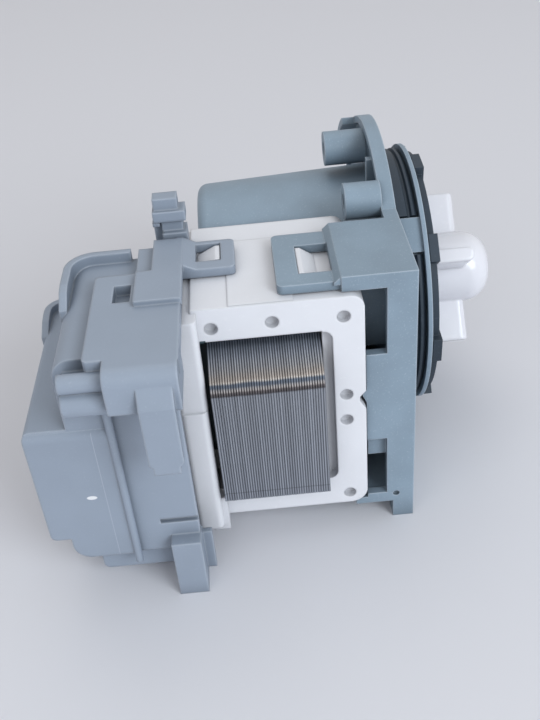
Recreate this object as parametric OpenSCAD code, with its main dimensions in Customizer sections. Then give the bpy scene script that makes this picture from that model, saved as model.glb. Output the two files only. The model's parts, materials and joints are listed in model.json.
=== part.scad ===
/* [Flange] */
// radius of the round edge of the flange plate
plate_r = 42.8; // [41.5:0.1:45]
// thickness of the flange plate
plate_t = 2.2; // [1.8:0.1:3]
// how far the edge lip stands back from the plate face
lip_d = 3.4; // [3:0.1:4.5]
// thickness of the edge lip
lip_t = 1.8; // [1.2:0.1:2.4]
// distance of the front wall from the pump axis
front_y = 52.4; // [52:0.1:54]
// distance of the resting edge below the pump axis
base_z = 38; // [36:0.5:40]
// thickness of the front wall and of the roof
wall_t = 2.2; // [1.8:0.1:2.6]
// how far the roof reaches back from the front wall
roof_len = 24; // [18:0.5:28]
// how far the roof reaches from the plate toward the motor
roof_x = 16.2; // [14:0.2:18]

/* [Spigot] */
// outer radius of the rim that enters the pump chamber
rim_r = 34.5; // [34:0.1:35.5]
// thickness of the rim
rim_t = 1.1; // [0.9:0.1:1.6]
// distance from the plate face to the end of the spigot
spigot_len = 8; // [7.6:0.1:9]
// depth of the groove under the seal ring, below the rim
groove_d = 2.8; // [2.3:0.1:3.5]
// thickness of the spigot between the groove and the recess
spigot_wall = 5.7; // [4.5:0.1:7]
// thickness of the face gasket
gasket_t = 2; // [1.6:0.1:2.2]
// how far the gasket stays outside the recess
gasket_in = 2.4; // [2:0.1:3]
// how far the pump axis lies behind the middle of the front part
axis_y = 2; // [1:0.1:3]

/* [Rotor hood] */
// outer radius of the hood at its closed end
hood_r0 = 28.8; // [28:0.1:29.6]
// outer radius of the hood at the flange plate
hood_r1 = 30.3; // [29.8:0.1:31]
// wall of the hood
hood_t = 1.7; // [1.4:0.1:2]
// rounding of the closed end
hood_round = 2.7; // [2:0.1:3]

/* [Screw bosses] */
// outer radius of the screw bosses
boss_r = 4.3; // [3.8:0.1:4.6]
// radius of the screw holes
boss_hole_r = 1.9; // [1.5:0.05:2.3]
// length of the far boss
far_boss_len = 11.2; // [8:0.2:13]
// length of the near boss
near_boss_len = 9.4; // [7:0.2:11]

/* [Motor core] */
// thickness of the sheet stack along the axis
stack_t = 25; // [24:0.2:25.6]
// distance from the plate face to the near side of the stack
stack_gap = 21; // [20.6:0.1:21.6]
// half height of the core
core_half = 21.4; // [20.6:0.1:22]
// width of each core arm
arm_w = 12; // [11:0.1:12.4]
// distance of the core front from the pump axis
core_front = 58.5; // [56.5:0.1:60]
// depth of the core yoke
yoke_d = 12; // [10:0.2:12.2]
// radius of the rounded upper front corner
core_round = 4; // [3:0.2:5]

/* [Coil housing] */
// distance of the housing front from the pump axis
coil_front = 53.8; // [53:0.1:54.6]
// distance of the housing back from the pump axis
coil_back = 17.9; // [17:0.1:18.6]
// half height of the housing
coil_half = 29.9; // [29:0.1:30.4]
// wall left of the sheet stack
coil_left = 5.8; // [5.4:0.1:6.2]
// wall right of the sheet stack
coil_right = 9.4; // [9:0.1:9.6]
// thickness of the bobbin walls
bobbin_t = 1; // [0.8:0.05:1.2]
// thickness of the winding
wind_t = 3.2; // [2.6:0.1:3.4]
// radius of the blind dimples
dimple_r = 1.5; // [1.2:0.05:1.8]

/* [Clips] */
// thickness of the clip plates
clip_t = 2.1; // [1.6:0.1:2.4]
// space between a clip plate and the coil housing
clip_gap = 0.35; // [0.25:0.05:0.5]
// height of the roof above the flange clip
roof_step = 1.4; // [0.8:0.1:2]

/* [Rotor] */
// radius of the shaft
shaft_r = 1.5; // [1.2:0.05:2]
// running clearance of the shaft in its bushes
run_gap = 0.03; // [0.02:0.01:0.06]
// radius of the rotor magnet
magnet_r = 9.3; // [8.5:0.1:9.4]
// length of the rotor magnet
magnet_len = 24; // [20:0.5:24.5]
// outer radius of the sleeve inside the magnet
sleeve_r = 4.5; // [4:0.1:5]
// inside radius of the rotor can
can_r = 9.9; // [9.8:0.05:10]
// wall of the rotor can
can_t = 1.3; // [1:0.05:1.4]
// outer radius of the bearing bushes
bush_r = 4; // [3.4:0.1:4.6]

/* [Impeller] */
// radius of the impeller hub and of its rounded end
dome_r = 9.5; // [9:0.1:10]
// radius of the blade tips
blade_r = 20.3; // [18:0.2:22]
// thickness of the blades
blade_t = 3.6; // [2.8:0.1:4]
// distance from the plate face to the back of the hub
hub_x = 8.7; // [8.4:0.1:9.6]
// distance from the plate face to the tip of the dome
dome_x = 29.5; // [28.5:0.1:31]
// distance from the end of the blades to the tip of the dome
blade_back = 7.2; // [6.5:0.1:8]
// distance from the back of the hub to the blades
blade_gap = 2; // [1.6:0.1:2.4]
// turn of the impeller between its two stops
play_deg = 160; // [120:5:190]

/* [Rear cover] */
// distance from the stack to the cover edge
cover_gap = 3.8; // [3.5:0.1:4.2]
// length of the cover from its edge to the upper left side
cover_len = 26.2; // [25:0.2:28]
// length of the cover from its edge to the lower left side
cover_low_len = 35.5; // [34:0.2:37]
// distance of the cover panel from the pump axis
cover_front = 67.5; // [66.5:0.1:68.5]
// wall of the cover
cover_t = 1.9; // [1.5:0.1:2.2]
// height of the upper cover level above the axis
cover_mid = 30; // [29.8:0.1:31]
// height of the lower cover level above the axis
cover_low = 12.5; // [11:0.5:14]
// height of the raised top plate above the upper level
cover_plate = 2.5; // [2:0.1:3]

/* [Terminals] */
// width of the spade terminals
spade_w = 6.3; // [4.8:0.1:6.5]
// thickness of the spade terminals
spade_t = 0.8; // [0.5:0.1:1]
// pitch between the two terminals
spade_pitch = 5; // [4:0.1:6]

/* [Hidden] */
$fn = 96;
eps = 0.01;
fit = 0.12;
rim_mid = spigot_len - rim_t / 2;
groove_r = rim_r - groove_d;
recess_r = groove_r - spigot_wall;
stack_x1 = -stack_gap;
stack_x0 = stack_x1 - stack_t;
arm_z0 = core_half - arm_w;
can_out = can_r + can_t;
bore_r = can_out + 0.4;
white_x0 = stack_x0 - coil_left;
white_x1 = stack_x1 + coil_right;
white_top = coil_half - 0.2;
white_bot = -coil_half - 0.3;
frame_x0 = stack_x0 - 2.2;
lump_x0 = white_x0 - 1.7;
lump_x1 = stack_x0 - 1;
window_x0 = stack_x0 - 4.1;
window_x1 = stack_x1 + 2.4;
clip_z0 = white_top + clip_gap;
clip_z1 = clip_z0 + clip_t;
roof_z = clip_z1 + roof_step;
roof_y1 = -front_y + roof_len;
wall_x0 = white_x1 + 0.3;
floor_z1 = white_bot - clip_gap;
floor_z0 = floor_z1 - clip_t;
cover_x1 = stack_x0 - cover_gap;
cover_x0 = cover_x1 - cover_len;
cover_bot = base_z - 5.2;
far_boss = [6.1, 36.4];
near_boss = [-19.6, 34];
low_x0 = cover_x1 - cover_low_len;
plate_top = cover_mid + cover_plate;
hood_gap = 0.4;
hood_y0 = max(-sqrt(pow(hood_r0 - hood_t - hood_gap, 2) - pow(core_half, 2)),
  -coil_back - axis_y + hood_gap);
can_end = stack_x0 - 1.05;
can_floor = can_end + 0.8;
shaft_seat = 2.1;
cup_x1 = can_floor + 4.6;
magnet_x0 = cup_x1 + 2.4;
magnet_x1 = magnet_x0 + magnet_len;
plug_x0 = magnet_x1 + 2.6;
dog_x0 = hub_x + 1.6;
dog_t = 3.4;
hub_bore_x = dog_x0 + dog_t + 0.6;
shaft_x1 = hub_bore_x + 8;
pocket_r = dome_r - 2.3;
stop_deg = 44;
pad_deg = 12;
stop_a = 359 - stop_deg;
dog_deg = stop_a - pad_deg - play_deg - 1;
blade_turn = 50;
end_round = dome_r - 2.8;
blade_x0 = hub_x + blade_gap;
blade_x1 = dome_x - blade_back;

front_grey = [0.50, 0.58, 0.63];
cover_grey = [0.60, 0.65, 0.70];
coil_white = [0.90, 0.90, 0.92];
rubber_black = [0.13, 0.15, 0.17];
steel_grey = [0.50, 0.50, 0.52];
copper = [0.72, 0.43, 0.22];
brass = [0.78, 0.66, 0.36];

module box(x0, x1, y0, y1, z0, z1) {
  translate([x0, y0, z0]) cube([x1 - x0, y1 - y0, z1 - z0]);
}

// moves a finished piece so that the origin lies on the axis in the middle of the rim
module placed(shade) {
  color(shade) translate([-rim_mid, -axis_y, 0]) children();
}

// the same for a piece that is drawn around the axis
module on_axis(shade) {
  color(shade) translate([-rim_mid, 0, 0]) children();
}

// draws a flat outline in Y and Z and gives it length along X
module ext_x(x0, x1) {
  translate([x0, 0, 0]) rotate([90, 0, 90]) linear_extrude(x1 - x0) children();
}

// draws a flat outline in X and Z and gives it length along Y
module ext_y(y0, y1) {
  translate([0, y1, 0]) rotate([90, 0, 0]) linear_extrude(y1 - y0) children();
}

// draws a flat outline in X and Y and gives it height
module ext_z(z0, z1) {
  translate([0, 0, z0]) linear_extrude(z1 - z0) children();
}

module rod_x(r, x0, x1) {
  translate([x0, 0, 0]) rotate([0, 90, 0]) cylinder(h = x1 - x0, r = r);
}

module tube_x(r1, r0, x0, x1) {
  difference() {
    rod_x(r1, x0, x1);
    rod_x(r0, x0 - 1, x1 + 1);
  }
}

module rev_x() {
  rotate([0, 90, 0]) rotate_extrude() children();
}

module round_rect(u0, u1, v0, v1, r) {
  translate([u0 + r, v0]) square([u1 - u0 - 2 * r, v1 - v0]);
  translate([u0, v0 + r]) square([u1 - u0, v1 - v0 - 2 * r]);
  for (u = [u0 + r, u1 - r]) {
    for (v = [v0 + r, v1 - r]) {
      translate([u, v]) circle(r = r);
    }
  }
}

// pie slice in Y and Z, angles from +Y toward +Z
module slice(r, a0, a1) {
  am = (a0 + a1) / 2;
  polygon([[0, 0], [r * cos(a0), r * sin(a0)], [r * cos(am) * 1.2, r * sin(am) * 1.2],
    [r * cos(a1), r * sin(a1)]]);
}

module plate_outline(inset) {
  intersection() {
    union() {
      translate([axis_y, 0]) circle(r = plate_r - inset);
      translate([-front_y + inset, -base_z + inset])
        square([front_y - inset, base_z + roof_z - 2 * inset]);
    }
    translate([-front_y + inset, -base_z + inset]) square([front_y + plate_r, base_z + plate_r]);
  }
}

module front_clip() {
  clip_x0 = stack_x1 - 8.6;
  difference() {
    union() {
      ext_z(clip_z0, clip_z1) round_rect(clip_x0, clip_x0 + 16, -front_y + 0.9, roof_y1 - 1, 1.4);
      ext_y(-front_y + 0.2, roof_y1) polygon([[-roof_x - 1.5, clip_z1 - 0.6], [-roof_x - 1.5, clip_z1],
        [-roof_x, roof_z], [-roof_x + 2, roof_z], [-roof_x + 2, clip_z1 - 0.6]]);
    }
    box(clip_x0 + 4.9, -roof_x - 1.2, -front_y + 5.4, -front_y + 17.4, clip_z0 - 1, roof_z + 1);
  }
}

module floor_clip() {
  clip_x0 = stack_x1 - 8.6;
  difference() {
    box(clip_x0, 0, -front_y + 2, roof_y1 - 1, floor_z0, floor_z1);
    box(clip_x0 + 4.9, -roof_x - 1.2, -front_y + 5.4, -front_y + 17.4, floor_z0 - 1, floor_z1 + 1);
  }
}

module front_wall() {
  win_x1 = -6.6;
  difference() {
    box(wall_x0, 0, -front_y, -front_y + wall_t, -32.7, roof_z);
    box(wall_x0 - 1, win_x1, -front_y - 1, -front_y + wall_t + 1, 12.9, 29.95);
    box(wall_x0 - 1, win_x1, -front_y - 1, -front_y + wall_t + 1, -29.6, -11.9);
    translate([-4.3, -front_y - eps, -30.2]) rotate([-90, 0, 0]) cylinder(h = 0.9, r = 0.8);
  }
  ext_y(-front_y, -front_y + wall_t) union() {
    round_rect(wall_x0, -5, -11.9, 12.9, 0.9);
    polygon([[wall_x0 + 0.5, 4], [wall_x0 - 0.9, 2.1], [wall_x0 - 0.9, 1.6], [wall_x0 + 0.5, -1.4]]);
  }
  box(-5.1, 0, -front_y, -front_y + 6, -base_z, -32);
  box(-roof_x, wall_x0 + 0.5, -front_y, -front_y + wall_t, 29.95, roof_z - 0.5);
  box(-14.2, wall_x0 + 0.5, -front_y, -front_y + wall_t, -32.7, white_bot - 0.5);
  box(-6.6, -plate_t, -front_y + wall_t - eps, -40, 27, 30.4);
  box(wall_x0 + 0.4, -plate_t, -front_y + 1.8, -front_y + 3.6, -18, -11.5);
  box(wall_x0 + 0.4, -plate_t, -42, -40.4, 8, roof_z - 1);
}

module screw_boss(y, z, len) {
  translate([-plate_t - len, y, z]) rotate([0, 90, 0]) cylinder(h = len + plate_t - lip_d + 0.3, r = boss_r);
  intersection() {
    translate([-plate_t - 3, y, z]) rotate([0, 90, 0]) cylinder(h = 3 + 0.5, r = boss_r - 0.15);
    translate([0, axis_y, 0]) rod_x(plate_r - lip_t / 2, -plate_t - 4, 1);
  }
}

// half of a lengthwise section through the hood, turned about the axis
module hood_section() {
  difference() {
    union() {
      polygon([[0, can_end], [hood_r0 - hood_round, can_end], [hood_r0 - hood_round, can_end + hood_round],
        [hood_r0, can_end + hood_round], [hood_r1, -plate_t], [0, -plate_t]]);
      translate([hood_r0 - hood_round, can_end + hood_round]) circle(r = hood_round);
    }
    polygon([[-1, can_floor], [hood_r0 - hood_t, can_floor], [hood_r1 - hood_t, -plate_t],
      [hood_r1 - hood_t, 1], [-1, 1]]);
    translate([-1, can_end - 1]) square([1 + can_out + 0.05, 3]);
  }
}

module front_housing() {
  placed(front_grey)
  difference() {
    union() {
      difference() {
        ext_x(-lip_d, 0) plate_outline(0);
        ext_x(-lip_d - 1, -plate_t) plate_outline(lip_t);
      }
      box(-roof_x, 0, -front_y, roof_y1, roof_z - wall_t, roof_z);
      front_clip();
      floor_clip();
      front_wall();
      screw_boss(far_boss[0], far_boss[1], far_boss_len);
      screw_boss(near_boss[0], near_boss[1], near_boss_len);
      translate([0, axis_y, 0]) intersection() {
        tube_x(plate_r - 0.15, plate_r - lip_t - 0.15, -6.8, -plate_t + 0.7);
        ext_x(-9, 0) slice(plate_r * 1.2, 40, 63);
      }
      box(-4.7, -plate_t, -9.6, -7.8, 33.2, 39.4);
    }
    translate([0, axis_y, 0]) rod_x(can_r, -plate_t - 1, 1);
    translate([-plate_t - far_boss_len - 1, far_boss[0], far_boss[1]]) rotate([0, 90, 0])
      cylinder(h = far_boss_len + plate_t + 2, r = boss_hole_r);
    translate([-plate_t - near_boss_len - 1, near_boss[0], near_boss[1]]) rotate([0, 90, 0])
      cylinder(h = near_boss_len + plate_t + 2, r = boss_hole_r);
  }
}

module spigot_ring() {
  on_axis(front_grey) {
    rev_x() polygon([[recess_r, 0], [groove_r, 0], [groove_r, spigot_len - rim_t],
      [rim_r, spigot_len - rim_t], [rim_r, spigot_len], [recess_r, spigot_len]]);
    intersection() {
      tube_x(rim_r - 1, groove_r - 1, 0, spigot_len - 0.5);
      ext_x(-1, spigot_len) slice(rim_r * 1.2, 126, 141);
    }
  }
}

module rotor_can() {
  on_axis(front_grey)
  difference() {
    rod_x(can_out, can_end, -plate_t);
    rod_x(can_r, can_floor, 1);
  }
}

module rotor_hood() {
  on_axis(front_grey)
  intersection() {
    rev_x() hood_section();
    box(can_end - 1, 1, hood_y0, 40, -40, 40);
  }
}

module seal_ring() {
  on_axis(rubber_black)
  difference() {
    rev_x() polygon([[groove_r + fit, 0.5], [rim_r - 1.6, 0.5], [rim_r - 1, 1.1], [rim_r - 1, 4],
      [rim_r - 1.7, 4.3], [rim_r - 1.7, 4.8], [rim_r - 0.9, 5.2], [rim_r - 0.9, 5.8],
      [rim_r - 1.6, spigot_len - rim_t - 0.3], [groove_r + fit, spigot_len - rim_t - 0.3]]);
    ext_x(-1, spigot_len) slice(rim_r * 1.2, 125, 142);
  }
}

module face_gasket() {
  on_axis(rubber_black) {
    tube_x(groove_r + 0.6, recess_r + gasket_in, spigot_len + 0.03, spigot_len + gasket_t);
    for (a = [5 : 45 : 320]) {
      rotate([a, 0, 0]) box(spigot_len + 0.2, spigot_len + gasket_t + 0.5, groove_r - 2, rim_r - 0.4, -3.4, 3.4);
    }
  }
}

module bearing_plate() {
  on_axis(front_grey)
  difference() {
    union() {
      rod_x(recess_r - fit, 0.1, 2.4);
      rod_x(can_r - fit, plug_x0, 0.2);
      rod_x(7, 2.3, 6.2);
    }
    rod_x(bush_r + 0.02, plug_x0 - 1, -1);
    rod_x(bush_r - 1.2, -2, 3);
    rod_x(bush_r + 0.02, 2.6, 7);
  }
}

module front_bush() {
  on_axis(brass) tube_x(bush_r, shaft_r + run_gap, plug_x0 + 0.3, -1.1);
}

module shaft_seal() {
  on_axis(rubber_black) tube_x(bush_r, shaft_r + 0.1, 2.7, 6);
}

module rear_cup() {
  on_axis(rubber_black)
  difference() {
    rod_x(can_r - 0.05, can_floor + 0.05, cup_x1);
    rod_x(bush_r + 0.02, can_floor + 1, cup_x1 + 1);
  }
}

module rear_bush() {
  on_axis(brass)
  difference() {
    rod_x(bush_r, can_floor + 1.05, cup_x1 - 0.1);
    rod_x(shaft_r + run_gap, can_floor + 1.9, cup_x1 + 1);
  }
}

// U shape seen along the axis, with one cut corner at the upper front
module core_outline() {
  slope = 33;
  cut_z = core_half - 11.5;
  turn = 90 - slope;
  reach = core_round * tan(turn / 2);
  corner_z = cut_z + reach;
  bevel_len = (core_half - corner_z) / tan(slope);
  difference() {
    polygon(concat([[-core_front, -core_half]],
      [for (i = [0 : 12]) [-core_front + core_round * (1 - cos(turn * i / 12)),
        cut_z + core_round * sin(turn * i / 12)]],
      [[-core_front + bevel_len, core_half], [-9, core_half], [9, 11.6], [9, -11.6], [-9, -core_half]]));
    translate([-core_front + yoke_d, -arm_z0]) square([core_front + 20, 2 * arm_z0]);
    translate([axis_y, 0]) circle(r = bore_r);
  }
}

module stator_core() {
  placed(steel_grey) ext_x(stack_x0, stack_x1) core_outline();
}

module frame_outline() {
  difference() {
    union() {
      translate([frame_x0, white_bot]) square([white_x1 - frame_x0 - 4, white_top - white_bot]);
      translate([white_x1 - 8, white_bot + 4]) square([8, white_top - white_bot - 7]);
      translate([white_x1 - 8, white_bot + 4]) square([5, white_top - white_bot - 4]);
      translate([white_x1 - 4, white_bot + 4]) circle(r = 4);
      translate([white_x1 - 3, white_top - 3]) circle(r = 3);
    }
    polygon([[white_x1 + 1, 5.4], [white_x1 - 1.4, 2.5], [white_x1 - 1.4, 1.3], [white_x1 + 1, -2.8]]);
  }
}

module arm_bore(side) {
  z0 = side > 0 ? arm_z0 : -core_half;
  box(stack_x0 - fit, stack_x1 + fit, -core_front, 0, z0 - fit, z0 + arm_w + fit);
}

module wind_space(side, grow) {
  t = fit + bobbin_t + wind_t + grow;
  z0 = side > 0 ? arm_z0 : -core_half;
  box(stack_x0 - t, stack_x1 + t, -core_front + yoke_d + 1.7 - grow, -coil_back - 1.7 + grow,
    z0 - t, z0 + arm_w + t);
}

module coil_housing() {
  placed(coil_white)
  difference() {
    union() {
      ext_y(-coil_front, -coil_back) frame_outline();
      box(white_x0, frame_x0 + 1, -coil_front + 1, -coil_back, white_bot, white_top - 0.7);
      ext_z(5, white_top - 0.7)
        round_rect(lump_x0, lump_x1, -coil_front - 3.7, -coil_front + 6, 1.3);
      ext_z(white_bot - 0.4, 5.5)
        round_rect(lump_x0 + 0.1, lump_x1 - 0.1, -coil_front - 4.3, -coil_front + 5.9, 1.5);
      box(white_x0 + 2, frame_x0 + 2.4, -coil_front - 2.6, -coil_front + 5, white_bot - 2.6, white_bot + 8);
      box(stack_x0 + 5.8, stack_x0 + 19.5, -coil_front + 0.4, -coil_back - 8, white_top - 1, white_top + 0.2);
      catch_ramp(stack_x0 + 3.1, -37.2, -31, -1, 3.6);
      catch_ramp(stack_x1 - 2, -46.6, -35.6, 1, 2.4);
    }
    ext_y(-coil_front - 1, -coil_front + 2.4)
      round_rect(stack_x0 + 5, window_x1, -core_half - 0.3, core_half - 0.1, 2.2);
    ext_y(-coil_front - 1, -core_front + yoke_d + fit)
      translate([window_x0, -core_half - 0.3]) square([stack_x1 + 0.3 - window_x0, 2 * core_half + 0.2]);
    arm_bore(1);
    arm_bore(-1);
    wind_space(1, 0.1);
    wind_space(-1, 0.1);
    for (p = [[1.7, 24.7], [14.7, 25], [29.9, 24.7], [30, 3.6], [29.9, -3.8], [30.1, -27]]) {
      translate([stack_x0 + p[0], -coil_front - 1, p[1]]) rotate([-90, 0, 0])
        cylinder(h = 2.8, r = dimple_r);
    }
    for (s = [-1, 1]) {
      box(white_x0 - 1, white_x0 + 6.1, -43.1, -43.1 + spade_w + 0.2, s * spade_pitch / 2 - spade_t / 2 - 0.1,
        s * spade_pitch / 2 + spade_t / 2 + 0.1);
    }
  }
}

// wedge that a clip plate snaps over; dir is the side of its steep face along X
module catch_ramp(x, y0, y1, dir, foot) {
  high = white_top + clip_gap + clip_t - 0.2;
  ext_y(y0, y1) polygon([[x - dir * 1.6, white_top - 0.5], [x - dir * 1.6, high], [x - dir * 0.6, high],
    [x + dir * foot, white_top + 0.2], [x + dir * foot, white_top - 0.5]]);
}

module bobbin(side) {
  z0 = side > 0 ? arm_z0 : -core_half;
  y0 = -core_front + yoke_d + 1.7;
  y1 = -coil_back - 1.7;
  a = fit;
  b = fit + bobbin_t;
  difference() {
    box(stack_x0 - b, stack_x1 + b, y0, y1, z0 - b, z0 + arm_w + b);
    box(stack_x0 - a, stack_x1 + a, y0 - 1, y1 + 1, z0 - a, z0 + arm_w + a);
  }
}

module winding(side) {
  z0 = side > 0 ? arm_z0 : -core_half;
  y0 = -core_front + yoke_d + 1.8;
  y1 = -coil_back - 1.8;
  b = fit + bobbin_t + 0.05;
  c = fit + bobbin_t + wind_t;
  difference() {
    ext_y(y0, y1) round_rect(stack_x0 - c, stack_x1 + c, z0 - c, z0 + arm_w + c, 2);
    box(stack_x0 - b, stack_x1 + b, y0 - 1, y1 + 1, z0 - b, z0 + arm_w + b);
  }
}

module upper_bobbin() {
  placed(coil_white) bobbin(1);
}

module lower_bobbin() {
  placed(coil_white) bobbin(-1);
}

module upper_winding() {
  placed(copper) winding(1);
}

module lower_winding() {
  placed(copper) winding(-1);
}

module spade(side) {
  z0 = side * spade_pitch / 2 - spade_t / 2;
  z1 = z0 + spade_t;
  bend_x = white_x0 - 8;
  box(bend_x - spade_w, white_x0 + 6, -43, -43 + spade_w, z0, z1);
  difference() {
    box(bend_x - spade_w, bend_x, -43, -26, z0, z1);
    translate([bend_x - spade_w / 2, -29.6, z0 - 1]) cylinder(h = spade_t + 2, r = 0.9);
  }
}

module terminal_upper() {
  placed(brass) spade(1);
}

module terminal_lower() {
  placed(brass) spade(-1);
}

module cover_clip() {
  x1 = stack_x0 + 8;
  difference() {
    union() {
      ext_z(clip_z0, clip_z1) round_rect(cover_x1 - 1, x1, -41.2, -28.8, 1.2);
      ext_y(-41.2, -28.8) polygon([[cover_x1 - 1, clip_z0], [cover_x1 - 1, plate_top + 1.2],
        [cover_x1 + 0.3, plate_top + 1.2], [cover_x1 + 3.3, clip_z1], [cover_x1 + 3.3, clip_z0]]);
    }
    box(stack_x0 - 0.7, stack_x0 + 4.9, -37.8, -30.2, clip_z0 - 1, clip_z1 + 5);
  }
}

module latch_post() {
  back = -22.4;
  box(-54, -49.2, -26, back, 30, 39.2);
  box(-55.4, -49.8, -26, back, 39, 42.2);
  box(-55.7, -48.3, -27, back, 36.9, 39.4);
  box(-56, -54.4, -26.4, back, 35.6, 36.6);
  box(-56, -49.4, -24, back, 12, 37.2);
  box(-54, cover_x1 + 1.4, -27.4, back, 12, 34.2);
}

module tongue() {
  x0 = cover_x1 - 8.5;
  x1 = cover_x1 - 1.5;
  top = plate_top - 2.1;
  intersection() {
    ext_x(x0, x1) polygon([[-76.6, top], [-77.2, top], [-79.6, 25], [-79.3, 8.2], [-77.6, 8.2], [-77.8, 24],
      [-76.6, 26]]);
    ext_y(-81, -70) polygon([[x0, 40], [x0, 10.8], [x0 + 0.7, 10.1], [x0 + 0.7, 8], [x1 - 0.9, 8],
      [x1 - 0.9, 10], [x1, 11], [x1, 40]]);
  }
}

module cover_shape() {
  right = white_x0 - 0.15;
  ext_y(-cover_front, -30) union() {
    round_rect(cover_x0, right, -20, cover_mid, 4.4);
    round_rect(cover_x0, right, -cover_bot, 10, 1.5);
    translate([right - 9, 0]) square([9, cover_mid]);
  }
  intersection() {
    ext_y(-cover_front - 1, -19) difference() {
      union() {
        round_rect(low_x0, cover_x1 - 12, -18.6, cover_low, 1.5);
        round_rect(low_x0 + 4.4, cover_x1 - 17, -25, 0, 4);
        translate([cover_x1 - 26, -25]) square([9.2, 40.6]);
      }
      translate([cover_x1 - 16.8, -60]) square([30, 120]);
    }
    ext_x(low_x0 - 1, cover_x1) union() {
      round_rect(-cover_front - 1, -19, -30, cover_low, 2.6);
      translate([-cover_front, -30]) square([20, 47]);
    }
  }
  box(cover_x0 - 3, right, -32, -19, -30, cover_low);
  ext_z(cover_mid - 1, plate_top) difference() {
    union() {
      round_rect(cover_x1 - 18.6, cover_x1, -72.3, -41, 1.2);
      translate([cover_x1 - 14.6, -74]) square([14.6, 10]);
    }
    translate([cover_x1 - 14.2, -52.2]) square([3.7, 6.7]);
  }
  skirt();
  box(cover_x1 - 23.7, cover_x1 - 14.2, -72.8, -cover_front + 3, 21.6, 27.3);
  translate([cover_x1 - 23.7, -73.2, 28.4]) rotate([0, 90, 0]) cylinder(h = 9.5, r = 2);
  translate([cover_x1 - 23.7, -73, 23.7]) rotate([0, 90, 0]) cylinder(h = 9.5, r = 2.9);
  ext_z(plate_top - 0.5, plate_top + 1.2) union() {
    translate([cover_x1 - 9.6, -54.4]) square([10, 12.2]);
    translate([cover_x1 - 6.2, -43]) square([6.6, 14]);
  }
  box(cover_x1 - 9.8, cover_x1 - 6, -40.6, -30, cover_mid - 1, plate_top - 0.2);
  intersection() {
    ext_z(cover_mid - 4, plate_top) intersection() {
      difference() {
        round_rect(cover_x0, cover_x1, -62, -29.6, 6.5);
        round_rect(cover_x0 + 1.7, cover_x1, -62, -31.3, 4.8);
      }
      translate([cover_x0 - 1, -50]) square([15.6, 22]);
    }
    lip_taper(-49, cover_mid, plate_top);
  }
  intersection() {
    ext_z(cover_low - 4, cover_low + 2) intersection() {
      difference() {
        round_rect(low_x0 - 0.6, cover_x1 - 12, -52, -18.6, 5);
        round_rect(low_x0 + 1, cover_x1 - 12, -52, -20.2, 3.4);
      }
      translate([low_x0 - 1, -33]) square([5, 16]);
    }
    lip_taper(-32, cover_low, cover_low + 2);
  }
  translate([cover_x1 - 16.9, -cover_front - 1, -27.4]) cylinder(h = 50.4, r = 0.9);
  box(cover_x1 - 8.8, cover_x1 - 2, -cover_front - 3.4, -cover_front + 6, -base_z, -21.3);
  box(cover_x1 - 8.8, cover_x1 - 2.5, -24, -19, -base_z, -28.5);
  box(cover_x1 - 3, cover_x1 + 0.2, -cover_front + 2, -cover_front + 3.4, -35.5, -20);
  tongue();
  latch_post();
  cover_clip();
}

// space under a lip that rises from one level to the next, starting at y0
module lip_taper(y0, z0, z1) {
  ext_x(low_x0 - 2, cover_x1) polygon([[y0, z0 - 3], [y0, z0 - 0.3], [y0 + 4, z0 + (z1 - z0) * 0.8],
    [y0 + 7, z1 + 0.1], [-10, z1 + 0.1], [-10, z0 - 3]]);
}

// front edge of the top plate, rounded over and open below
module skirt() {
  low = 23.2;
  difference() {
    ext_x(cover_x1 - 14.6, cover_x1 - 0.2) union() {
      round_rect(-77.8, -cover_front + 3, low, plate_top, 3);
      translate([-77.8, low]) square([20, 5]);
      translate([-70, low]) square([5.5 + 70 - cover_front, plate_top - low]);
    }
    box(cover_x1 - 13, cover_x1 - 1.8, -76, -cover_front - 0.5, low - 1, plate_top - 2);
  }
}

module rear_cover() {
  t = cover_t;
  ledge = 2.4;
  ledge_z = -25.5;
  placed(cover_grey)
  difference() {
    cover_shape();
    box(cover_x0 - 1, cover_x1 - 8.8, -cover_front - 0.1, -cover_front + ledge, -cover_bot - 1, ledge_z);
    box(cover_x0 + t, cover_x1 + 1, -cover_front + t, -30 - t, ledge_z + t, cover_mid - t);
    box(cover_x0 + t, cover_x1 + 1, -cover_front + ledge + t, -30 - t, -cover_bot + t, ledge_z + t + eps);
    box(low_x0 + t, cover_x1 - 12, -cover_front - 1 + t, -19 - t, -18.6 + t, cover_low - t);
    box(cover_x0 - 3 + t, cover_x1 + 1, -34, -19 - t, -30 + t, cover_low - t);
    box(white_x0 - 0.3, 0, -60, -coil_back + 2, white_bot - 3, white_top - 0.3);
    box(lump_x0 - 0.3, 0, -60, -coil_front + 6.4, white_bot - 0.7, white_top - 0.3);
    box(cover_x1 - 20, cover_x1 - 6, -22, -18, -9, 9);
    box(cover_x1 - 10.7, cover_x1 + 1, -cover_front - 0.5, -cover_front + 1.2, -17.4, -16);
  }
}

module rotor_shaft() {
  on_axis(steel_grey) rod_x(shaft_r, can_floor + shaft_seat, shaft_x1);
}

module rotor_sleeve() {
  on_axis(coil_white) tube_x(sleeve_r, shaft_r, magnet_x0 - 0.4, magnet_x1 + 0.4);
}

module rotor_magnet() {
  on_axis(rubber_black) tube_x(magnet_r, sleeve_r, magnet_x0, magnet_x1);
}

module rear_thrust_washer() {
  on_axis(coil_white) tube_x(bush_r - 0.4, shaft_r, cup_x1 + 0.5, cup_x1 + 1.7);
}

module front_thrust_washer() {
  on_axis(coil_white) tube_x(bush_r - 0.4, shaft_r, magnet_x1 + 0.7, magnet_x1 + 1.9);
}

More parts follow.
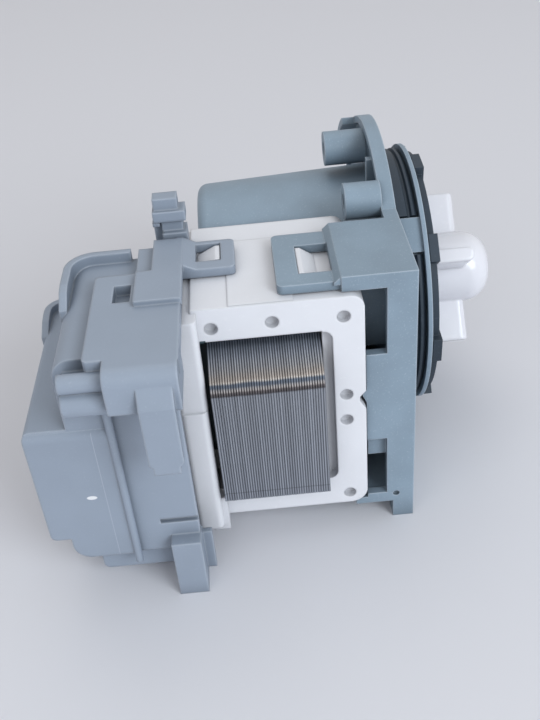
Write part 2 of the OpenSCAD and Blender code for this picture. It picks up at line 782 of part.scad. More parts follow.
module drive_dog() {
  on_axis(coil_white)
  difference() {
    union() {
      rod_x(3.4, dog_x0, dog_x0 + dog_t);
      intersection() {
        rod_x(pocket_r - 0.3, dog_x0, dog_x0 + dog_t);
        ext_x(dog_x0, dog_x0 + dog_t) sector(0, dog_deg);
      }
    }
    rod_x(shaft_r, dog_x0 - 1, dog_x0 + dog_t + 1);
  }
}

// wedge of any angle up to 180 degrees, from a0 in the turning direction
module sector(a0, wide) {
  r = 40;
  rotate(a0) polygon([[0, 0], [r, 0], [r * cos(wide / 3), r * sin(wide / 3)],
    [r * cos(2 * wide / 3), r * sin(2 * wide / 3)], [r * cos(wide), r * sin(wide)]]);
}

module impeller() {
  on_axis(coil_white)
  difference() {
    union() {
      rev_x() union() {
        translate([0, hub_x]) square([dome_r - end_round, dome_x - hub_x]);
        translate([0, hub_x]) square([dome_r, dome_x - end_round - hub_x]);
        translate([dome_r - end_round, dome_x - end_round]) intersection() {
          circle(r = end_round);
          square(end_round);
        }
      }
      for (a = [0 : 90 : 270]) {
        rotate([blade_turn + a, 0, 0]) blade();
      }
    }
    difference() {
      rod_x(pocket_r, hub_x - 1, hub_bore_x);
      intersection() {
        tube_x(pocket_r + 1, 3.8, dog_x0 - 0.4, hub_bore_x);
        ext_x(dog_x0 - 0.4, hub_bore_x) sector(stop_a, stop_deg);
      }
    }
    rod_x(shaft_r + run_gap, hub_x, shaft_x1 + 0.6);
  }
}

// flat radial blade whose free edge is fully round
module blade() {
  intersection() {
    ext_z(-blade_t, blade_t) union() {
      translate([blade_x0, dome_r - 2]) square([blade_x1 - blade_x0, blade_r - dome_r + 1.2]);
      translate([blade_x0, dome_r - 2]) square([blade_x1 - blade_x0 - 0.8, blade_r - dome_r + 2]);
      translate([blade_x1 - 0.8, blade_r - 0.8]) circle(r = 0.8);
    }
    ext_y(0, blade_r + 1) union() {
      translate([blade_x0, -blade_t / 2]) square([blade_x1 - blade_x0 - blade_t / 2, blade_t]);
      translate([blade_x1 - blade_t / 2, 0]) circle(r = blade_t / 2);
    }
  }
}

module hub_cover() {
  on_axis(coil_white) tube_x(pocket_r - 0.03, shaft_r + 0.3, hub_x + 0.1, dog_x0 - 0.5);
}

module stop_pad() {
  on_axis(rubber_black)
  intersection() {
    tube_x(pocket_r - 0.1, 3.9, dog_x0 - 0.3, hub_bore_x - 0.1);
    ext_x(dog_x0 - 1, hub_bore_x) sector(stop_a - pad_deg, pad_deg - 0.1);
  }
}

front_housing();
spigot_ring();
rotor_can();
rotor_hood();
seal_ring();
face_gasket();
bearing_plate();
front_bush();
shaft_seal();
rear_cup();
rear_bush();
stator_core();
coil_housing();
upper_bobbin();
lower_bobbin();
upper_winding();
lower_winding();
terminal_upper();
terminal_lower();
rear_cover();
rotor_shaft();
rotor_sleeve();
rotor_magnet();
rear_thrust_washer();
front_thrust_washer();
drive_dog();
impeller();
hub_cover();
stop_pad();
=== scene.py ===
import json
import bpy
import numpy as np
from mathutils import Matrix, Vector


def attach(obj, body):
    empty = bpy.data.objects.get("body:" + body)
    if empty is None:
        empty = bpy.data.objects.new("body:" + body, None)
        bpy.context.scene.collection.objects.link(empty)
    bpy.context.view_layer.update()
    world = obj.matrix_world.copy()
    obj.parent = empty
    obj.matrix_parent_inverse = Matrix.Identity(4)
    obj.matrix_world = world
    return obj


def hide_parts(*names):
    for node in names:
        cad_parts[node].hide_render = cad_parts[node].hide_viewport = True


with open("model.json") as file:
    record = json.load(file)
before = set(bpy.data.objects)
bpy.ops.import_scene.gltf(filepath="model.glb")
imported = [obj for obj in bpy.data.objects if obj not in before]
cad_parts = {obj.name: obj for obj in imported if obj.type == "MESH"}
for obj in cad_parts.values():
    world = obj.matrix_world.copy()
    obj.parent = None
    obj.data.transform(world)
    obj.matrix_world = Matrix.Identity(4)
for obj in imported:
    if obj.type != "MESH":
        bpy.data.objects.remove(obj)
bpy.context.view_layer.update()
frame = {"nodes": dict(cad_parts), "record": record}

nodes = frame["nodes"]
mm = 0.001
rimMid = 7.45  # the part's source measures x from the flange face, the frame from the rim's middle
axisY = 2.0  # and y from the middle of the front part, the frame from the pump axis
scene = bpy.context.scene
scene.view_settings.view_transform = "Standard"
print("frame loaded:", len(nodes), "nodes")

# camera, from the lines of the photo: place in mm, angles in degrees, clip in metres
viewOf = {"at": (-40.98, -215.93, 133.03), "heading": -0.3946, "tilt": 53.6669, "roll": -5.2986,
          "lens": 45.795, "sensor": 36.0, "clip": (0.01, 20.0)}
camData = bpy.data.cameras.new("camera")
camData.sensor_width = viewOf["sensor"]
camData.lens = viewOf["lens"]
camData.clip_start, camData.clip_end = viewOf["clip"]
camera = bpy.data.objects.new("camera", camData)
stand = Matrix.Translation(Vector(viewOf["at"]) * mm)
for angle, axis in (("heading", "Z"), ("tilt", "X"), ("roll", "Z")):
    stand = stand @ Matrix.Rotation(np.radians(viewOf[angle]), 4, axis)
camera.matrix_world = stand
scene.collection.objects.link(camera)
scene.camera = camera


def srgb(r, g, b):
    # colour as seen on screen, 0 to 255, to the linear value that a socket takes
    c = np.array([r, g, b]) / 255.0
    lin = np.where(c <= 0.04045, c / 12.92, ((c + 0.055) / 1.055) ** 2.4)
    return (*lin.tolist(), 1.0)


def addNode(tree, kind, **values):
    # node with its plain settings and socket values in one call
    node = tree.nodes.new(kind)
    for key, value in values.items():
        if key in node.inputs:
            node.inputs[key].default_value = value
        else:
            setattr(node, key, value)
    return node


def plug(tree, socket, given):
    # links an output to the socket, or sets a fixed value on it
    if isinstance(given, bpy.types.NodeSocket):
        tree.links.new(given, socket)
    else:
        socket.default_value = given


def maths(tree, kind, *given, clamp=False):
    node = addNode(tree, "ShaderNodeMath", operation=kind, use_clamp=clamp)
    for socket, value in zip(node.inputs, given):
        plug(tree, socket, value)
    return node.outputs[0]


def vectorMaths(tree, kind, *given):
    node = addNode(tree, "ShaderNodeVectorMath", operation=kind)
    for socket, value in zip(node.inputs, given):
        plug(tree, socket, value)
    return node.outputs


def mapRange(tree, value, fromMin=0.0, fromMax=1.0, toMin=0.0, toMax=1.0):
    node = tree.nodes.new("ShaderNodeMapRange")
    ends = {"Value": value, "From Min": fromMin, "From Max": fromMax, "To Min": toMin, "To Max": toMax}
    for label, given in ends.items():
        plug(tree, node.inputs[label], given)
    return node.outputs["Result"]


def mixColour(tree, share, under, over, kind="MIX"):
    # sockets 6 and 7 and output 2 are the mix node's colours
    node = addNode(tree, "ShaderNodeMix", data_type="RGBA", blend_type=kind)
    for index, given in ((0, share), (6, under), (7, over)):
        plug(tree, node.inputs[index], given)
    return node.outputs[2]


def newGroup(name, takes, gives):
    # empty shader group with named sockets
    tree = bpy.data.node_groups.new(name, "ShaderNodeTree")
    for label, kind, value in takes:
        socket = tree.interface.new_socket(name=label, in_out="INPUT", socket_type=kind)
        if value is not None:
            socket.default_value = value
    for label, kind in gives:
        tree.interface.new_socket(name=label, in_out="OUTPUT", socket_type=kind)
    return tree, tree.nodes.new("NodeGroupInput"), tree.nodes.new("NodeGroupOutput")


# moulded grain: fine noise for the bump, slow noise for the tone, which runs from 1 - spread to 1 + spread
grainGroup, gIn, gOut = newGroup("mouldGrain", [
    ("Vector", "NodeSocketVector", None), ("Fine", "NodeSocketFloat", 4000.0),
    ("Slow", "NodeSocketFloat", 60.0), ("Spread", "NodeSocketFloat", 0.06)],
    [("Tone", "NodeSocketFloat"), ("Height", "NodeSocketFloat"), ("Cloud", "NodeSocketFloat")])
fine = addNode(grainGroup, "ShaderNodeTexNoise", Detail=3.0, Roughness=0.6)
slow = addNode(grainGroup, "ShaderNodeTexNoise", Detail=4.0, Roughness=0.55)
for noise, scale in ((fine, "Fine"), (slow, "Slow")):
    plug(grainGroup, noise.inputs["Vector"], gIn.outputs["Vector"])
    plug(grainGroup, noise.inputs["Scale"], gIn.outputs[scale])
lowTone = maths(grainGroup, "SUBTRACT", 1.0, gIn.outputs["Spread"])
highTone = maths(grainGroup, "ADD", 1.0, gIn.outputs["Spread"])
plug(grainGroup, gOut.inputs["Tone"], mapRange(grainGroup, slow.outputs["Fac"], 0.3, 0.7, lowTone, highTone))
plug(grainGroup, gOut.inputs["Height"], fine.outputs["Fac"])
plug(grainGroup, gOut.inputs["Cloud"], slow.outputs["Fac"])

# paler edges, part wear and part painted highlight: where the rounded normal leaves the flat one
edgeGroup, eIn, eOut = newGroup("wornAndHighlitEdge", [
    ("Flat", "NodeSocketVector", None), ("Round", "NodeSocketVector", None)],
    [("Mask", "NodeSocketFloat")])
agree = vectorMaths(edgeGroup, "DOT_PRODUCT", eIn.outputs["Flat"], eIn.outputs["Round"])["Value"]
plug(edgeGroup, eOut.inputs["Mask"], mapRange(edgeGroup, agree, 0.995, 0.80))


def newMaterial(name):
    material = bpy.data.materials.new(name)
    material.use_nodes = True
    tree = material.node_tree
    tree.nodes.clear()
    out = tree.nodes.new("ShaderNodeOutputMaterial")
    shader = tree.nodes.new("ShaderNodeBsdfPrincipled")
    tree.links.new(shader.outputs["BSDF"], out.inputs["Surface"])
    return material, tree, shader


def boxMask(tree, place, low, high):
    # 1 inside a box in object coordinates, 0 outside: one compare for each axis, multiplied
    apart = tree.nodes.new("ShaderNodeSeparateXYZ")
    plug(tree, apart.inputs[0], place)
    mask = None
    for axis in range(3):
        middle = (low[axis] + high[axis]) / 2 * mm
        half = (high[axis] - low[axis]) / 2 * mm
        near = maths(tree, "COMPARE", apart.outputs[axis], middle, half)
        mask = near if mask is None else maths(tree, "MULTIPLY", mask, near)
    return mask


def spotMask(tree, place, spot):
    # ellipse: scaled distance from its middle, softened at the rim
    fromIt = vectorMaths(tree, "SUBTRACT", place, [v * mm for v in spot["at"]])[0]
    scaled = vectorMaths(tree, "DIVIDE", fromIt, [v * mm for v in spot["half"]])[0]
    return mapRange(tree, vectorMaths(tree, "LENGTH", scaled)["Value"], 1.0, spot["soft"])


def placeGrain(tree, place, look):
    grain = addNode(tree, "ShaderNodeGroup", node_tree=grainGroup)
    plug(tree, grain.inputs["Vector"], place)
    for label in ("fine", "slow", "spread"):
        grain.inputs[label.capitalize()].default_value = look[label]
    return grain.outputs


def finishSurface(tree, shader, height, cloud, look, normal=None):
    # roughness spread by one noise, bump by another, over the rounded normal where there is one
    spread = look["roughSpread"]
    rough = mapRange(tree, cloud, toMin=look["rough"] - spread, toMax=look["rough"] + spread)
    plug(tree, shader.inputs["Roughness"], rough)
    bump = addNode(tree, "ShaderNodeBump", Strength=look["bump"], Distance=look["depth"] * mm)
    plug(tree, bump.inputs["Height"], height)
    if normal is not None:
        plug(tree, bump.inputs["Normal"], normal)
    plug(tree, shader.inputs["Normal"], bump.outputs["Normal"])


def moulded(name, look):
    # plastic or rubber: tone clouds, pale flecks, edges rounded, paler edges that are part wear and part
    # painted highlight, painted shade in the creases
    material, tree, shader = newMaterial(name)
    place = tree.nodes.new("ShaderNodeTexCoord").outputs["Object"]
    grain = placeGrain(tree, place, look)
    rounded = addNode(tree, "ShaderNodeBevel", samples=8, Radius=look["edge"] * mm).outputs["Normal"]
    edgeWearAndHighlight = addNode(tree, "ShaderNodeGroup", node_tree=edgeGroup)
    plug(tree, edgeWearAndHighlight.inputs["Flat"], tree.nodes.new("ShaderNodeNewGeometry").outputs["Normal"])
    plug(tree, edgeWearAndHighlight.inputs["Round"], rounded)
    edgeWearAndHighlightShare = maths(tree, "MULTIPLY", edgeWearAndHighlight.outputs["Mask"], look["edgeWearAndHighlight"])
    # flecks: only the peaks of one more noise
    peaks = addNode(tree, "ShaderNodeTexNoise", Scale=look["fleckScale"], Detail=2.0)
    plug(tree, peaks.inputs["Vector"], place)
    fleckShare = mapRange(tree, peaks.outputs["Fac"], 0.62, 0.74, 0.0, look["fleck"])
    colour = mixColour(tree, 1.0, look["colour"], grain["Tone"], "MULTIPLY")
    colour = mixColour(tree, fleckShare, colour, look["paleFleckAndEdgeColour"])
    # paler edges: part wear, part painted highlight
    colour = mixColour(tree, edgeWearAndHighlightShare, colour, look["paleFleckAndEdgeColour"])
    # flat-colour boxes: painted shade in a deep gap, and mould marks
    for box in look.get("shadeAndMarkBoxes", []):
        mask = maths(tree, "MULTIPLY", boxMask(tree, place, box["low"], box["high"]), box["share"])
        colour = mixColour(tree, mask, colour, box["colour"])
    if "gate" in look:
        colour = mixColour(tree, spotMask(tree, place, look["gate"]), colour, look["gate"]["colour"])
    # painted shade: darker where near faces close the surface in, by ambient occlusion
    closed = addNode(tree, "ShaderNodeAmbientOcclusion", samples=8, Distance=look["creaseReach"] * mm)
    creaseShade = mapRange(tree, closed.outputs["AO"], 0.2, 0.95, 1.0 - look["crease"], 1.0)
    plug(tree, shader.inputs["Base Color"], mixColour(tree, 1.0, colour, creaseShade, "MULTIPLY"))
    finishSurface(tree, shader, grain["Height"], grain["Cloud"], look, rounded)
    shader.inputs["Specular IOR Level"].default_value = look["specular"]
    shader.inputs["Coat Weight"].default_value = look.get("coat", 0.0)
    shader.inputs["Coat Roughness"].default_value = 0.2
    return material


def metal(name, look):
    # turned or drawn metal: fine scratches in the roughness and the bump
    material, tree, shader = newMaterial(name)
    stretch = addNode(tree, "ShaderNodeMapping", Scale=look["stretch"])
    plug(tree, stretch.inputs["Vector"], tree.nodes.new("ShaderNodeTexCoord").outputs["Object"])
    grain = placeGrain(tree, stretch.outputs["Vector"], look)
    plug(tree, shader.inputs["Base Color"], mixColour(tree, 1.0, look["colour"], grain["Tone"], "MULTIPLY"))
    rounded = addNode(tree, "ShaderNodeBevel", samples=4, Radius=look["edge"] * mm).outputs["Normal"]
    finishSurface(tree, shader, grain["Height"], grain["Height"], look, rounded)
    shader.inputs["Metallic"].default_value = look["metallic"]
    return material


frontLook = {"colour": srgb(138, 156, 171), "fine": 3200.0, "slow": 70.0, "spread": 0.09,
             "fleck": 0.32, "fleckScale": 2600.0, "crease": 0.55, "creaseReach": 8.0,
             "edge": 0.55, "edgeWearAndHighlight": 0.9, "paleFleckAndEdgeColour": srgb(190, 203, 214),
             "rough": 0.5, "roughSpread": 0.08, "bump": 0.35, "depth": 0.05, "specular": 0.45}
coverLook = {"colour": srgb(150, 161, 176), "fine": 2600.0, "slow": 45.0, "spread": 0.05,
             "fleck": 0.14, "fleckScale": 2000.0, "crease": 0.42, "creaseReach": 5.0,
             "edge": 0.8, "edgeWearAndHighlight": 0.7, "paleFleckAndEdgeColour": srgb(190, 199, 211),
             "rough": 0.46, "roughSpread": 0.08, "bump": 0.25, "depth": 0.04, "specular": 0.45,
             # pale spot of the mould's gate, and the thin parting line beside it
             "gate": {"at": (-73.9 - rimMid, -68.5 - axisY, -6.45), "half": (1.25, 1.5, 0.6), "soft": 0.8,
                      "colour": srgb(236, 237, 240)},
             "shadeAndMarkBoxes": [{"low": (-70.95 - rimMid, -200.0, -25.0),
                        "high": (-70.81 - rimMid, -68.0 - axisY, 15.4),
                        "colour": srgb(206, 212, 222), "share": 0.35}]}
coilLook = {"colour": srgb(232, 233, 238), "fine": 1800.0, "slow": 50.0, "spread": 0.03,
            "fleck": 0.3, "fleckScale": 900.0, "crease": 0.3, "creaseReach": 10.0,
            "edge": 0.6, "edgeWearAndHighlight": 0.3, "paleFleckAndEdgeColour": srgb(242, 243, 246),
            "rough": 0.36, "roughSpread": 0.06, "bump": 0.12, "depth": 0.03, "specular": 0.5,
            # painted shade: the wall of the deep gap beside the core, darkened to flat shadow
            "shadeAndMarkBoxes": [{"low": (-58.0, -56.7, -15.5), "high": (-53.2, -44.0, 21.9),
                       "colour": srgb(66, 86, 94), "share": 1.0}]}
impellerLook = {"colour": srgb(232, 232, 238), "fine": 900.0, "slow": 60.0, "spread": 0.02,
                "fleck": 0.2, "fleckScale": 600.0, "crease": 0.15, "creaseReach": 4.0,
                "edge": 1.2, "edgeWearAndHighlight": 0.25, "paleFleckAndEdgeColour": srgb(242, 242, 246),
                "rough": 0.2, "roughSpread": 0.05, "bump": 0.08, "depth": 0.03, "specular": 0.5, "coat": 0.2}
rubberLook = {"colour": srgb(50, 61, 72), "fine": 2400.0, "slow": 80.0, "spread": 0.12,
              "fleck": 0.3, "fleckScale": 1200.0, "crease": 0.3, "creaseReach": 3.0,
              "edge": 0.4, "edgeWearAndHighlight": 0.4, "paleFleckAndEdgeColour": srgb(84, 95, 106),
              "rough": 0.55, "roughSpread": 0.08, "bump": 0.3, "depth": 0.05, "specular": 0.4}
copperLook = {"colour": srgb(184, 110, 62), "stretch": (1.0, 0.1, 1.0), "fine": 4000.0, "slow": 300.0,
              "spread": 0.15, "rough": 0.35, "roughSpread": 0.1, "edge": 0.2, "bump": 0.4,
              "depth": 0.1, "metallic": 1.0}
brassLook = {"colour": srgb(206, 184, 120), "stretch": (1.0, 0.15, 1.0), "fine": 3000.0, "slow": 150.0,
             "spread": 0.08, "rough": 0.3, "roughSpread": 0.08, "edge": 0.2, "bump": 0.15,
             "depth": 0.03, "metallic": 1.0}
shaftLook = {"colour": srgb(190, 190, 194), "stretch": (0.2, 1.0, 1.0), "fine": 4000.0, "slow": 200.0,
             "spread": 0.06, "rough": 0.22, "roughSpread": 0.06, "edge": 0.2, "bump": 0.1,
             "depth": 0.02, "metallic": 1.0}
ferriteLook = {"colour": srgb(62, 62, 66), "stretch": (1.0, 1.0, 1.0), "fine": 2500.0, "slow": 120.0,
               "spread": 0.12, "rough": 0.5, "roughSpread": 0.1, "edge": 0.3, "bump": 0.3,
               "depth": 0.05, "metallic": 0.5}
finishes = {"front_plastic": moulded("frontPlastic", frontLook),
            "cover_plastic": moulded("coverPlastic", coverLook),
            "coil_white": moulded("coilWhite", coilLook),
            "impeller_white": moulded("impellerWhite", impellerLook),
            "seal_rubber": moulded("sealRubber", rubberLook),
            "winding_copper": metal("windingCopper", copperLook),
            "bush_brass": metal("bushBrass", brassLook),
            "spade_brass": metal("spadeBrass", brassLook),
            "shaft_steel": metal("shaftSteel", shaftLook),
            "magnet_ferrite": metal("magnetFerrite", ferriteLook)}
slotOf = {part["node"]: part["material_slot"] for part in frame["record"]["subparts"]}
for name, part in nodes.items():
    if slotOf[name] in finishes:
        part.data.materials.clear()
        part.data.materials.append(finishes[slotOf[name]])
print("finishes made:", len(finishes))

# sheet stack: the punched outline carried along x, one thin plate after another
sheetStack = {"front": 58.5 + axisY, "half": 21.4, "armZ": 9.4, "yoke": 12.0, "bore": 11.6, "round": 4.0,
              "slope": 33.0, "cutZ": 9.9, "pole": (-9.0 - axisY, 9.0 - axisY), "tipZ": 11.6,
              "cornerSteps": 12, "boreSteps": 24, "step": 1.5,
              "x0": -46.0 - rimMid, "length": 25.0, "sheets": 44,
              "gap": 0.13, "chamfer": 0.05, "deep": 0.16, "jitter": 0.035, "seed": 11}


def coreOutline(look):
    # outer line from the lower front corner round the U and back, corner arc by its angle, bore arcs by angle
    front, half, armZ, tipZ = -look["front"], look["half"], look["armZ"], look["tipZ"]
    turnBy = np.radians(90 - look["slope"])
    reach = look["round"] * np.tan(turnBy / 2)
    bevelLen = (half - look["cutZ"] - reach) / np.tan(np.radians(look["slope"]))
    arc = turnBy * np.arange(look["cornerSteps"] + 1) / look["cornerSteps"]
    corner = np.stack([front + look["round"] * (1 - np.cos(arc)),
                       look["cutZ"] + look["round"] * np.sin(arc)], 1)
    back, tip = look["pole"]
    lean = np.arctan2(armZ, np.sqrt(look["bore"] ** 2 - armZ ** 2))
    a = np.linspace(lean, np.pi - lean, look["boreSteps"])
    bore = look["bore"] * np.stack([np.cos(a), np.sin(a)], 1)
    top = np.array([[front + bevelLen, half], [back, half], [tip, tipZ], [tip, armZ]])
    inner = np.array([[front + look["yoke"], armZ], [front + look["yoke"], -armZ]])
    foot = np.array([[tip, -armZ], [tip, -tipZ], [back, -half]])
    flip = np.array([1, -1])
    return np.concatenate([[[front, -half]], corner, top, bore, inner, bore[::-1] * flip, foot])


def refine(line, step):
    # splits each side of a closed line into equal runs no longer than step
    following = np.roll(line, -1, 0)
    counts = np.maximum(1, np.ceil(np.linalg.norm(following - line, axis=1) / step).astype(int))
    start = np.repeat(np.arange(len(line)), counts)
    before = np.cumsum(counts) - counts
    share = (np.arange(counts.sum()) - np.repeat(before, counts)) / np.repeat(counts, counts)
    return line[start] + (following[start] - line[start]) * share[:, None]


def makeMesh(name, points, faces):
    mesh = bpy.data.meshes.new(name)
    mesh.from_pydata(points, [], faces)
    mesh.update()
    piece = bpy.data.objects.new(name, mesh)
    scene.collection.objects.link(piece)
    return piece


def buildSheetStack(look):
    # rings along x: each sheet has two chamfer rings and two face rings, and the seam ring lies deeper
    line = refine(coreOutline(look), look["step"])
    ahead = np.roll(line, -1, 0) - np.roll(line, 1, 0)
    ahead /= np.linalg.norm(ahead, axis=1)[:, None]
    outward = np.stack([-ahead[:, 1], ahead[:, 0]], 1)
    area = 0.5 * np.sum(line[:, 0] * np.roll(line[:, 1], -1) - np.roll(line[:, 0], -1) * line[:, 1])
    outward = outward * (-1 if area > 0 else 1)
    rng = np.random.default_rng(look["seed"])
    sheets, gap, chamfer = look["sheets"], look["gap"], look["chamfer"]
    pitch = look["length"] / sheets
    thick = pitch - gap
    begin = look["x0"] + pitch * np.arange(sheets) + gap / 2
    along = np.array([0, chamfer, thick - chamfer, thick, thick + gap / 2])
    inset = np.array([chamfer, 0, 0, chamfer, look["deep"]])
    rings = len(along)
    xs = (begin[:, None] + along).ravel()[:-1]
    xs[0], xs[-1] = look["x0"], look["x0"] + look["length"]
    shift = np.repeat(rng.uniform(0, look["jitter"], sheets), rings)[:-1]
    ring = line[None] - outward[None] * (np.tile(inset, sheets)[:-1] + shift)[:, None, None]
    count, size = len(xs), len(line)
    points = np.empty((count, size, 3))
    points[:, :, 0] = xs[:, None]
    points[:, :, 1:] = ring
    i, j = np.meshgrid(np.arange(count - 1), np.arange(size), indexing="ij")
    k = (j + 1) % size
    quads = np.stack([i * size + j, i * size + k, (i + 1) * size + k, (i + 1) * size + j], -1).reshape(-1, 4)
    caps = [np.arange(size)[::-1], (count - 1) * size + np.arange(size)]
    if area < 0:
        quads = quads[:, ::-1]
        caps = [cap[::-1] for cap in caps]
    faces = quads.tolist() + [cap.tolist() for cap in caps]
    piece = makeMesh("sheetStack", points.reshape(-1, 3) * mm, faces)
    tone = np.repeat(rng.uniform(0, 1, sheets), rings)[:-1]
    share = np.tile(along / pitch, sheets)[:-1]
    for label, values in (("sheetTone", tone), ("acrossSheet", share)):
        held = piece.data.attributes.new(label, "FLOAT", "POINT")
        held.data.foreach_set("value", np.repeat(values, size).astype(np.float32))
    return piece


def bandRamp(tree, at, rustShadeAndReflectionBands, part):
    # colour by height, which holds rust, painted shade and painted reflection: part 1 of each band is the
    # sheet's colour, part 2 the seam's
    zLow, zHigh = rustShadeAndReflectionBands[0][0], rustShadeAndReflectionBands[-1][0]
    ramp = tree.nodes.new("ShaderNodeValToRGB")
    plug(tree, ramp.inputs["Fac"], at)
    stops = ramp.color_ramp.elements
    while len(stops) < len(rustShadeAndReflectionBands):
        stops.new(0.5)
    for stop, band in zip(stops, rustShadeAndReflectionBands):
        stop.position = (band[0] - zLow) / (zHigh - zLow)
        stop.color = band[part]
    return ramp.outputs["Color"]


def sheetSteel(name, look):
    # bare punched steel: a bright line along each sheet, dark seams, both coloured by height with rust,
    # painted shade and painted reflection
    material, tree, shader = newMaterial(name)
    place = tree.nodes.new("ShaderNodeTexCoord").outputs["Object"]
    stretch = addNode(tree, "ShaderNodeMapping", Scale=look["stretch"])
    plug(tree, stretch.inputs["Vector"], place)
    streak = addNode(tree, "ShaderNodeTexNoise", Scale=look["streak"], Detail=4.0, Roughness=0.65)
    plug(tree, streak.inputs["Vector"], stretch.outputs["Vector"])
    sheet = addNode(tree, "ShaderNodeAttribute", attribute_name="sheetTone").outputs["Fac"]
    across = addNode(tree, "ShaderNodeAttribute", attribute_name="acrossSheet").outputs["Fac"]
    # height, wavering a little, from the lowest band to the highest
    wave = addNode(tree, "ShaderNodeTexNoise", Scale=look["waveScale"], Detail=2.0)
    plug(tree, wave.inputs["Vector"], place)
    apart = tree.nodes.new("ShaderNodeSeparateXYZ")
    plug(tree, apart.inputs[0], place)
    height = maths(tree, "MULTIPLY_ADD", wave.outputs["Fac"], look["waver"] * mm, apart.outputs["Z"])
    at = mapRange(tree, height, look["rustShadeAndReflectionBands"][0][0] * mm, look["rustShadeAndReflectionBands"][-1][0] * mm)
    # line of each sheet: near its bright middle the sheet's colour, elsewhere the seam's
    off = maths(tree, "ABSOLUTE", maths(tree, "SUBTRACT", across, look["lineAt"]))
    onLine = mapRange(tree, off, look["lineHalf"][1], look["lineHalf"][0])
    seamColour = bandRamp(tree, at, look["rustShadeAndReflectionBands"], 2)
    sheetColour = bandRamp(tree, at, look["rustShadeAndReflectionBands"], 1)
    colour = mixColour(tree, onLine, seamColour, sheetColour)
    streaked = maths(tree, "MULTIPLY", streak.outputs["Fac"], look["streakShare"])
    blend = maths(tree, "MULTIPLY_ADD", sheet, look["sheetShare"], streaked)
    tone = mapRange(tree, blend, toMin=look["tone"][0], toMax=look["tone"][1])
    plug(tree, shader.inputs["Base Color"], mixColour(tree, 1.0, colour, tone, "MULTIPLY"))
    finishSurface(tree, shader, streak.outputs["Fac"], streak.outputs["Fac"], look)
    shader.inputs["Metallic"].default_value = look["metallic"]
    return material


steelLook = {"stretch": (1.0, 1.0, 0.05), "streak": 2200.0, "streakShare": 0.6, "sheetShare": 0.45,
             "tone": (0.7, 1.2), "waver": 0.4, "waveScale": 180.0, "lineAt": 0.4, "lineHalf": (0.12, 0.34),
             "rough": 0.45, "roughSpread": 0.1, "bump": 0.25, "depth": 0.03, "metallic": 0.6,
             # height in mm, colour of the sheets, colour of the seams; the dark and bluish bands from 10.2 to
             # 12.65 mm with a pale glint are a painted reflection on the rounded top corner, the warm tint
             # from 12.9 to 14.6 mm is rust, and the darkening above 16 mm is painted shade under the white
             # frame's top bar
             "rustShadeAndReflectionBands": [(-22.0, srgb(168, 173, 182), srgb(118, 122, 131)),
                       (-19.1, srgb(168, 173, 182), srgb(118, 122, 131)),
                       (-18.9, srgb(124, 128, 134), srgb(92, 95, 101)),
                       (-18.7, srgb(169, 174, 183), srgb(120, 124, 133)),
                       (9.8, srgb(163, 167, 175), srgb(132, 136, 144)),
                       (10.2, srgb(98, 95, 98), srgb(68, 65, 68)),
                       (10.9, srgb(124, 118, 119), srgb(74, 69, 70)),
                       (11.3, srgb(200, 193, 190), srgb(92, 87, 88)),
                       (11.8, srgb(176, 174, 175), srgb(88, 87, 92)),
                       (12.1, srgb(110, 117, 129), srgb(78, 85, 97)),
                       (12.65, srgb(106, 115, 127), srgb(76, 83, 95)),
                       (12.9, srgb(210, 204, 198), srgb(148, 140, 134)),
                       (13.15, srgb(194, 184, 176), srgb(134, 125, 119)),
                       (13.8, srgb(188, 181, 176), srgb(120, 115, 112)),
                       (14.6, srgb(178, 178, 180), srgb(112, 113, 118)),
                       (16.0, srgb(172, 177, 186), srgb(102, 107, 117)),
                       (17.2, srgb(148, 155, 166), srgb(85, 91, 101)),
                       (17.8, srgb(112, 119, 130), srgb(64, 70, 79)),
                       (21.4, srgb(84, 92, 103), srgb(51, 57, 66))]}
stack = buildSheetStack(sheetStack)
stack.data.materials.append(sheetSteel("sheetSteel", steelLook))
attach(stack, "pump_body")
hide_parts("stator_core")
print("sheet stack:", len(stack.data.polygons), "faces")

# round floor: points by angle on one circle, in mm
floorLook = {"z": -38.0, "reach": 1500.0, "sides": 96,
             "colour": srgb(228, 228, 233), "rough": 0.8, "specular": 0.15}
around = np.linspace(0, 2 * np.pi, floorLook["sides"], endpoint=False)
edge = np.stack([floorLook["reach"] * np.cos(around), floorLook["reach"] * np.sin(around),
                 np.full_like(around, floorLook["z"])], 1)
floor = makeMesh("floor", edge * mm, [list(range(floorLook["sides"]))])
floorFinish, _, floorShader = newMaterial("paleFloor")
floorShader.inputs["Base Color"].default_value = floorLook["colour"]
floorShader.inputs["Roughness"].default_value = floorLook["rough"]
floorShader.inputs["Specular IOR Level"].default_value = floorLook["specular"]
floor.data.materials.append(floorFinish)

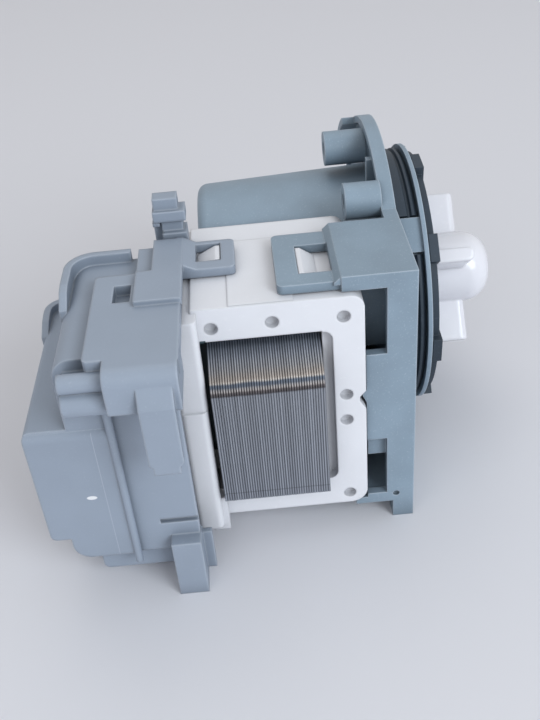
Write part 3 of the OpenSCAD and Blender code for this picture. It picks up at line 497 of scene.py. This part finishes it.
# sky: brighter toward the window side, by the cosine between a direction and that side
skyLook = {"colour": (0.97, 0.98, 1.0, 1.0), "toward": (0.3, -0.68, 0.66), "dim": 0.15, "bright": 0.58,
           "backdrop": 0.75}
world = bpy.data.worlds.new("studio")
scene.world = world
world.use_nodes = True
skyTree = world.node_tree
sky = skyTree.nodes["Background"]
sky.inputs["Color"].default_value = skyLook["colour"]
toward = skyTree.nodes.new("ShaderNodeTexCoord").outputs["Generated"]
facing = vectorMaths(skyTree, "DOT_PRODUCT", toward, skyLook["toward"])["Value"]
glow = mapRange(skyTree, facing, -1.0, 1.0, skyLook["dim"], skyLook["bright"])
# plain pale backdrop where the camera, gloss or glass looks past the floor
ray = skyTree.nodes.new("ShaderNodeLightPath").outputs
seen = maths(skyTree, "ADD", ray["Is Camera Ray"], ray["Is Glossy Ray"], clamp=True)
seen = maths(skyTree, "ADD", seen, ray["Is Transmission Ray"], clamp=True)
# sockets 2 and 3 are the mix node's plain numbers
skyMix = addNode(skyTree, "ShaderNodeMix", data_type="FLOAT")
for index, given in ((0, seen), (2, glow), (3, skyLook["backdrop"])):
    plug(skyTree, skyMix.inputs[index], given)
plug(skyTree, sky.inputs["Strength"], skyMix.outputs[0])

# soft lights, in metres, all aimed at the middle of the pump
aimAt = Vector((-0.04, -0.03, 0.0))
lights = {"windowLight": {"at": (0.62, -0.9, 0.62), "size": 0.6, "power": 8.2, "colour": (0.87, 0.94, 1.0)},
          "topLight": {"at": (-0.2, 0.45, 1.1), "size": 0.8, "power": 2.5, "colour": (1.0, 0.98, 0.96)},
          "fillLight": {"at": (-0.6, -0.9, 0.7), "size": 0.9, "power": 1.7, "colour": (0.92, 0.96, 1.0)}}
for name, look in lights.items():
    data = bpy.data.lights.new(name, "AREA")
    data.shape = "RECTANGLE"
    data.size = data.size_y = look["size"]
    data.energy = look["power"]
    data.color = look["colour"]
    lamp = bpy.data.objects.new(name, data)
    lamp.location = look["at"]
    lamp.rotation_euler = (aimAt - Vector(look["at"])).to_track_quat("-Z", "Y").to_euler()
    scene.collection.objects.link(lamp)
print("floor and light set")
